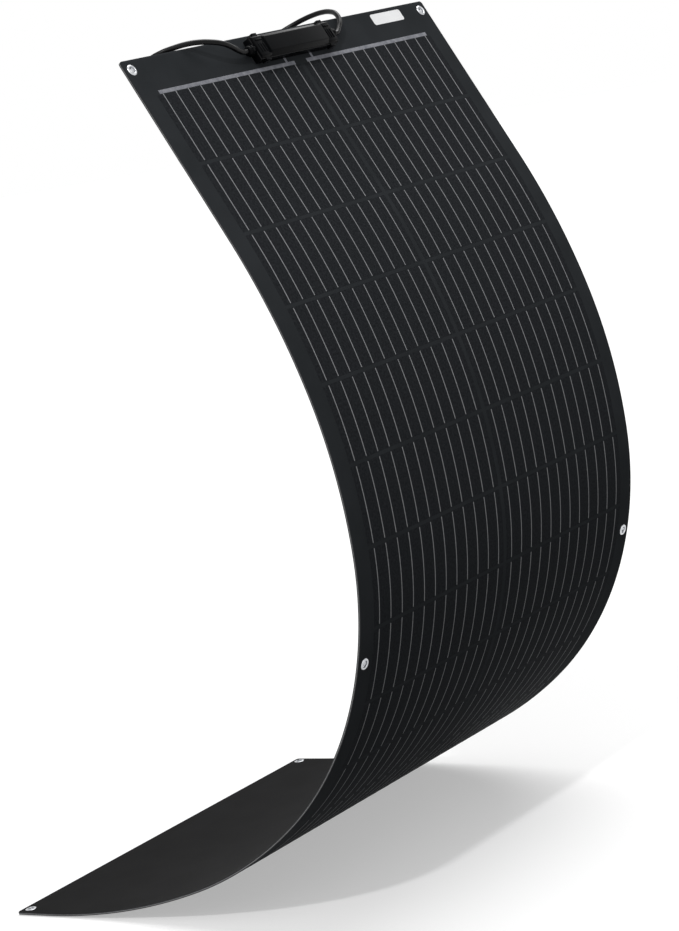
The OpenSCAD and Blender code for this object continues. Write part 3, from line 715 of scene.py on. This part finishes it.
# ---- Label ----
# A blank label of white plastic film, cut with round corners and stuck on the sheet beside a
# head eyelet.
label_w = 50 * mm
label_h = 12 * mm
label_t = 0.12 * mm
label_x = 164.5 * mm
label_corner = 2.5 * mm
label_edge = 0.05 * mm

label_film, shader = plain_material("label_film", (0.88, 0.885, 0.89), 0.42)
paper = use_group(label_film, grain, Size=0.0015)
two_tones(label_film, shader, paper.outputs["Tone"], (0.85, 0.855, 0.865), (0.91, 0.915, 0.92))
uneven_gloss(label_film, shader, paper.outputs["Height"], 0.34, 0.5)
bumps(label_film, shader, paper.outputs["Height"], 0.00002)

bm = bmesh.new()
add_block(bm, (-label_w / 2, -label_h / 2, 0), (label_w / 2, label_h / 2, label_t))
bevel(bm, [edge for edge in bm.edges if runs_along(edge, 2)], label_corner, 8)
bevel(bm, [edge for edge in bm.edges if min(vert.co.z for vert in edge.verts) > 0], label_edge, 1)
bmesh.ops.transform(bm, matrix=place_on_sheet(label_x, sheet_l - eyelet_end, front), verts=bm.verts[:])
label = smooth(object_from("head_label", bm, label_film))
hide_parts("label")
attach(label, "field_7")


# ---- Junction box ----
# A moulded black box, stuck to the head edge on an adhesive pad: a tray, a seal and a clipped
# lid with a plain raised middle and a low, ribbed shoulder at each end.
box_l = 118 * mm
box_w = 24 * mm
box_x = -5 * mm
box_up = sheet_l - 18 * mm
pad_t = 0.8 * mm
base_h = 8 * mm
seal_t = 0.6 * mm
lid_h = 5 * mm
shoulder_l = 14 * mm
shoulder_h = 3 * mm
rib_pitch = 3.4 * mm
rib_t = 1.2 * mm
bar_l = 9 * mm
lug_l = 9 * mm
lug_out = 1 * mm
clip_l = 7 * mm
clip_t = 1.2 * mm
clip_root = 1 * mm
clip_top = 1 * mm
box_place = place_on_sheet(box_x, box_up, front)
base_top = pad_t + base_h
lid_low = base_top + seal_t
shoulder_top = lid_low + shoulder_h
clip_x = box_l / 2 - 9 * mm
clip_y = box_w / 2 + 1.9 * mm

box_plastic, shader = plain_material("box_plastic", (0.004, 0.0042, 0.0050), 0.22, specular=0.035)
mould = use_group(box_plastic, grain, Size=0.0007)
two_tones(box_plastic, shader, mould.outputs["Tone"], (0.0032, 0.0035, 0.0042), (0.0058, 0.0062, 0.0070))
uneven_gloss(box_plastic, shader, mould.outputs["Height"], 0.14, 0.26)
bumps(box_plastic, shader, mould.outputs["Height"], 0.00005)


def rounded_block(bm, low_corner, high_corner, radius, segments=3, slopes=(0, 0)):
    """A block with all its edges rounded, whose top may be drawn in along X and Y"""
    part = bmesh.new()
    draw_in_top(add_block(part, low_corner, high_corner), *slopes)
    bevel(part, part.edges[:], radius, segments)
    add_part(bm, part)


def box_piece(name, bm, node):
    """Puts a piece that is drawn in the box's own frame in its place on the head field"""
    bmesh.ops.transform(bm, matrix=box_place, verts=bm.verts[:])
    bmesh.ops.recalc_face_normals(bm, faces=bm.faces[:])
    piece = smooth(object_from(name, bm, box_plastic), 40)
    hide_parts(node)
    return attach(piece, "field_7")


# The tray, with a lug on each long side that the lid's clips snap under
bm = bmesh.new()
rounded_block(bm, (-box_l / 2, -box_w / 2, pad_t), (box_l / 2, box_w / 2, base_top), 0.7 * mm)
for x in (-clip_x, clip_x):
    rounded_block(
        bm, (x - lug_l / 2, -box_w / 2 - lug_out, base_top - 3.4 * mm),
        (x + lug_l / 2, box_w / 2 + lug_out, base_top - 1.8 * mm), 0.25 * mm, 2,
    )
box_piece("box_tray", bm, "box_base")

# The lid: its middle, and at each end a shoulder with three ribs, a bar and two clips
bm = bmesh.new()
mid_l = box_l - 2 * shoulder_l
rounded_block(
    bm, (-mid_l / 2, -box_w / 2, lid_low), (mid_l / 2, box_w / 2, lid_low + lid_h),
    0.8 * mm, 4, (0.6 * mm, 4.2 * mm),
)
for side in (-1, 1):
    x_low, x_high = sorted((side * (mid_l / 2 - 1.5 * mm), side * box_l / 2))
    rounded_block(
        bm, (x_low, -box_w / 2, lid_low), (x_high, box_w / 2, shoulder_top),
        0.7 * mm, slopes=(0.4 * mm, 2.2 * mm),
    )
    for rib in (1, 2, 3):
        x = side * (mid_l / 2 + rib * rib_pitch)
        rounded_block(
            bm, (x - rib_t / 2, -7 * mm, shoulder_top - 0.4 * mm),
            (x + rib_t / 2, 3 * mm, shoulder_top + 0.7 * mm), 0.25 * mm, 2, (0.15 * mm, 0.3 * mm),
        )
    x = side * (box_l - shoulder_l) / 2
    rounded_block(
        bm, (x - bar_l / 2, 5.4 * mm, shoulder_top - 0.6 * mm),
        (x + bar_l / 2, 7.2 * mm, shoulder_top + 0.9 * mm), 0.3 * mm, 2, (0.2 * mm, 0.2 * mm),
    )
    x_low, x_high = side * clip_x - clip_l / 2, side * clip_x + clip_l / 2
    for y, wall_y in ((-clip_y, clip_root - box_w / 2), (clip_y, box_w / 2 - clip_root)):
        rounded_block(
            bm, (x_low, y - clip_t / 2, lid_low - 5.4 * mm),
            (x_high, y + clip_t / 2, lid_low + clip_top), 0.3 * mm, 2,
        )
        rounded_block(
            bm, (x_low, min(y, wall_y), lid_low + 0.2 * mm),
            (x_high, max(y, wall_y), lid_low + clip_top), 0.2 * mm, 1,
        )
box_piece("box_cover", bm, "box_lid")


# ---- Gland nuts ----
# A turned nut of the same plastic at each end of the box, with twelve ribs to grip it by. It
# presses a rubber grommet onto the cord that runs through it.
gland_l = 8 * mm
gland_ribs = 12
cord_d = 5 * mm
cord_up = pad_t + 5 * mm
nut_outline = (
    (cord_d / 2, 0.4 * mm), (5.2 * mm, 0.4 * mm), (5.3 * mm, 0.6 * mm), (5.3 * mm, 4.7 * mm),
    (5.0 * mm, 5.0 * mm), (4.6 * mm, 5.1 * mm), (4.6 * mm, 6.6 * mm), (4.1 * mm, 7.5 * mm),
    (3.3 * mm, gland_l), (cord_d / 2, gland_l),
)

for side, nut_name in ((-1, "gland_nut_left"), (1, "gland_nut_right")):
    bm = bmesh.new()
    turned(bm, nut_outline, Matrix.Identity(4), 48)
    for rib in range(gland_ribs):
        part = bmesh.new()
        rounded_block(part, (-0.6 * mm, 5.1 * mm, 0.5 * mm), (0.6 * mm, 5.6 * mm, 4.9 * mm), 0.2 * mm, 2)
        turn = Matrix.Rotation(rib * math.tau / gland_ribs, 4, "Z")
        bmesh.ops.transform(part, matrix=turn, verts=part.verts[:])
        add_part(bm, part)
    outward = Matrix.Rotation(side * math.pi / 2, 4, "Y")
    box_end = Matrix.Translation((side * box_l / 2, 0, cord_up))
    bmesh.ops.transform(bm, matrix=box_end @ outward, verts=bm.verts[:])
    box_piece(f"{nut_name}_cap", bm, nut_name)


# ---- Inside the box ----
# A foam pad under the tray, a soft seal round its rim and a rubber grommet in each gland. The
# tray holds two rolled brass terminals and a moulded diode. Their solids need no more shape.
def dress(finish, *node_names):
    """Gives solids of the frame this material in place of their own"""
    for node_name in node_names:
        materials = nodes[node_name].data.materials
        materials.clear()
        materials.append(finish)


seal_rubber, shader = plain_material("seal_rubber", (0.012, 0.012, 0.0125), 0.7, specular=0.3)
foam = use_group(seal_rubber, grain, Size=0.0009)
two_tones(seal_rubber, shader, foam.outputs["Height"], (0.009, 0.009, 0.0095), (0.017, 0.017, 0.018))
bumps(seal_rubber, shader, foam.outputs["Height"], 0.0001)
dress(seal_rubber, "box_pad", "box_seal", "gland_seals")

brass_plate, shader = plain_material("brass_plate", (0.60, 0.46, 0.20), 0.3, metallic=1.0)
rolled = use_group(brass_plate, grain, Size=0.003)
two_tones(brass_plate, shader, rolled.outputs["Tone"], (0.52, 0.38, 0.15), (0.66, 0.51, 0.24))
uneven_gloss(brass_plate, shader, rolled.outputs["Height"], 0.2, 0.4)
dress(brass_plate, "terminal_left", "terminal_right")

# The diode is of the same matt plastic as the connectors
connector_plastic, shader = plain_material("connector_plastic", (0.009, 0.009, 0.0095), 0.42, specular=0.4)
mould = use_group(connector_plastic, grain, Size=0.0008)
two_tones(
    connector_plastic, shader, mould.outputs["Tone"], (0.0065, 0.0065, 0.007), (0.0125, 0.0125, 0.013)
)
uneven_gloss(connector_plastic, shader, mould.outputs["Height"], 0.32, 0.52)
bumps(connector_plastic, shader, mould.outputs["Height"], 0.00005)
dress(connector_plastic, "bypass_diode")


# ---- Cords ----
# Two black rubber cords, each 5 mm thick. They leave the glands, loop over the head edge and
# end in a coil each, which hang side by side behind the sheet in a strap.
# The coils and the routes are given in millimetres, as in the solids of the cords
cord_stub = 5
coil_x = -30
coil_z = 700
coil_pitch = 5.8
coil_turns = 3
coil_steps = 24
coil_lead = 5
coil_tail = 26
left_coil_r = 30
right_coil_r = 32.5
# Where each coil begins: the angle round it, in degrees, and the Y
left_entry = (83, -345)
right_entry = (127, -320)
# Each route is a list of points, from the gland to the coil
left_route = (
    (-84, -365, 777.5), (-95, -366, 782.5), (-106.5, -365.5, 787), (-118, -363, 790),
    (-129.5, -358.5, 792), (-140.5, -353, 792.5), (-150, -346, 791.5), (-158.5, -337.5, 789.5),
    (-164.5, -327.5, 785.5), (-165.5, -317, 779.5), (-162, -309.5, 770.5), (-155, -306, 762),
    (-145.5, -305.5, 754.5), (-135, -307, 748), (-124, -310.5, 743), (-113, -315.5, 739),
    (-101.5, -321, 736.5), (-90, -326.5, 734.5), (-79, -332, 733.5), (-67.5, -337.5, 733),
    (-55.5, -341.5, 732.5),
)
right_route = (
    (73, -363, 778.5), (82, -359.5, 785.5), (88.5, -352.5, 792.5), (93.5, -342, 796),
    (96, -330.5, 797), (95.5, -319, 796), (92.5, -307.5, 793.5), (86.5, -298, 790),
    (78.5, -290.5, 786), (69, -286, 781.5), (58.5, -283.5, 777), (47.5, -283.5, 772.5),
    (36.5, -286, 768.5), (26, -290, 764), (15.5, -295.5, 759.5), (5, -301.5, 755),
    (-5, -307.5, 750.5), (-15, -313, 745.5),
)

cord_rubber, shader = plain_material("cord_rubber", (0.005, 0.005, 0.0055), 0.22, specular=0.12)
sheath = use_group(cord_rubber, grain, Size=0.0012)
two_tones(cord_rubber, shader, sheath.outputs["Tone"], (0.0038, 0.0038, 0.0043), (0.0070, 0.0070, 0.0075))
uneven_gloss(cord_rubber, shader, sheath.outputs["Height"], 0.18, 0.32)
bumps(cord_rubber, shader, sheath.outputs["Height"], 0.00003)
dress(cord_rubber, "cord_tails")


def coil_points(way, entry_angle, entry_y, radius):
    """The turns of a coil, clockwise for 1, between a straight lead and a straight tail"""
    spin = coil_turns * 360 + (entry_angle if way == 1 else 180 - entry_angle)
    steps = round(coil_steps * spin / 360)
    turns = []
    for step in range(steps + 1):
        angle = math.radians(entry_angle - way * spin * step / steps)
        y = entry_y + coil_pitch * spin * step / steps / 360
        turns.append(Vector((coil_x + radius * math.cos(angle), y, coil_z + radius * math.sin(angle))))
    first = math.radians(entry_angle)
    onward = way * Vector((math.sin(first), 0, -math.cos(first)))
    lead = [turns[0] - 2 * coil_lead * onward, turns[0] - coil_lead * onward]
    tail = [turns[-1] + Vector((0, 0, -coil_tail * part)) for part in (0.5, 1)]
    return lead + turns + tail


def cord(name, side, route, coil, replaced):
    """One cord as a curve from its gland to its connector"""
    exit_point = (box_place @ Vector((side * (box_l / 2 + gland_l), 0, cord_up))) / mm
    points = [exit_point, exit_point + Vector((cord_stub * side, 0, 0)), *map(Vector, route), *coil]
    curve = bpy.data.curves.new(name, "CURVE")
    curve.dimensions = "3D"
    curve.bevel_depth = cord_d / 2
    curve.bevel_resolution = 5
    curve.resolution_u = 6
    line = curve.splines.new("BEZIER")
    line.bezier_points.add(len(points) - 1)
    for knot, point in zip(line.bezier_points, points):
        knot.co = point * mm
        knot.handle_left_type = knot.handle_right_type = "AUTO"
    curve.materials.append(cord_rubber)
    piece = bpy.data.objects.new(name, curve)
    scene.collection.objects.link(piece)
    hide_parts(*replaced)
    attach(piece, "field_7")
    return piece


# ---- Strap and connectors ----
# A woven strap holds both coils at the bottom. A plug with two spring latches hangs from one
# cord and its socket from the other, each with a faceted nut that grips the cord.
# The strap is drawn in millimetres too.
strap_w = 6
strap_t = 1.2
strap_bend = 3
strap_gap = 0.3
strap_from, strap_to = -347.8, -299.0
strap_room = cord_d / 2 / mm + strap_gap
strap_low = coil_z - right_coil_r - strap_room
strap_high = coil_z - left_coil_r + strap_room

strap_weave, shader = plain_material("strap_weave", (0.010, 0.010, 0.011), 0.8, specular=0.2)
web = use_group(strap_weave, grain, Size=0.0006)
two_tones(strap_weave, shader, web.outputs["Height"], (0.006, 0.006, 0.0065), (0.020, 0.020, 0.021))
bumps(strap_weave, shader, web.outputs["Height"], 0.0002)

bm = bmesh.new()
strap_side = strap_w / 2
add_block(bm, (coil_x - strap_side, strap_from, strap_low), (coil_x + strap_side, strap_to, strap_high))
bevel(bm, [edge for edge in bm.edges if runs_along(edge, 0)], strap_bend, 5)
ends = [face for face in bm.faces if abs(face.normal.x) > 0.99]
bmesh.ops.delete(bm, geom=ends, context="FACES_ONLY")
bmesh.ops.recalc_face_normals(bm, faces=bm.faces[:])
bmesh.ops.solidify(bm, geom=bm.faces[:], thickness=-strap_t)
bmesh.ops.transform(bm, matrix=Matrix.Diagonal((mm, mm, mm, 1)), verts=bm.verts[:])
bmesh.ops.recalc_face_normals(bm, faces=bm.faces[:])
strap = smooth(object_from("coil_strap", bm, strap_weave))
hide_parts("coil_tie")
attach(strap, "field_7")

# The connectors and their nuts are seen as their own solids
dress(connector_plastic, "plug_body", "plug_nut", "socket_body", "socket_nut")

cord(
    "lead_left", -1, left_route, coil_points(1, *left_entry, left_coil_r),
    ("cord_left", "coil_left"),
)
cord(
    "lead_right", 1, right_route, coil_points(-1, *right_entry, right_coil_r),
    ("cord_right", "coil_right"),
)
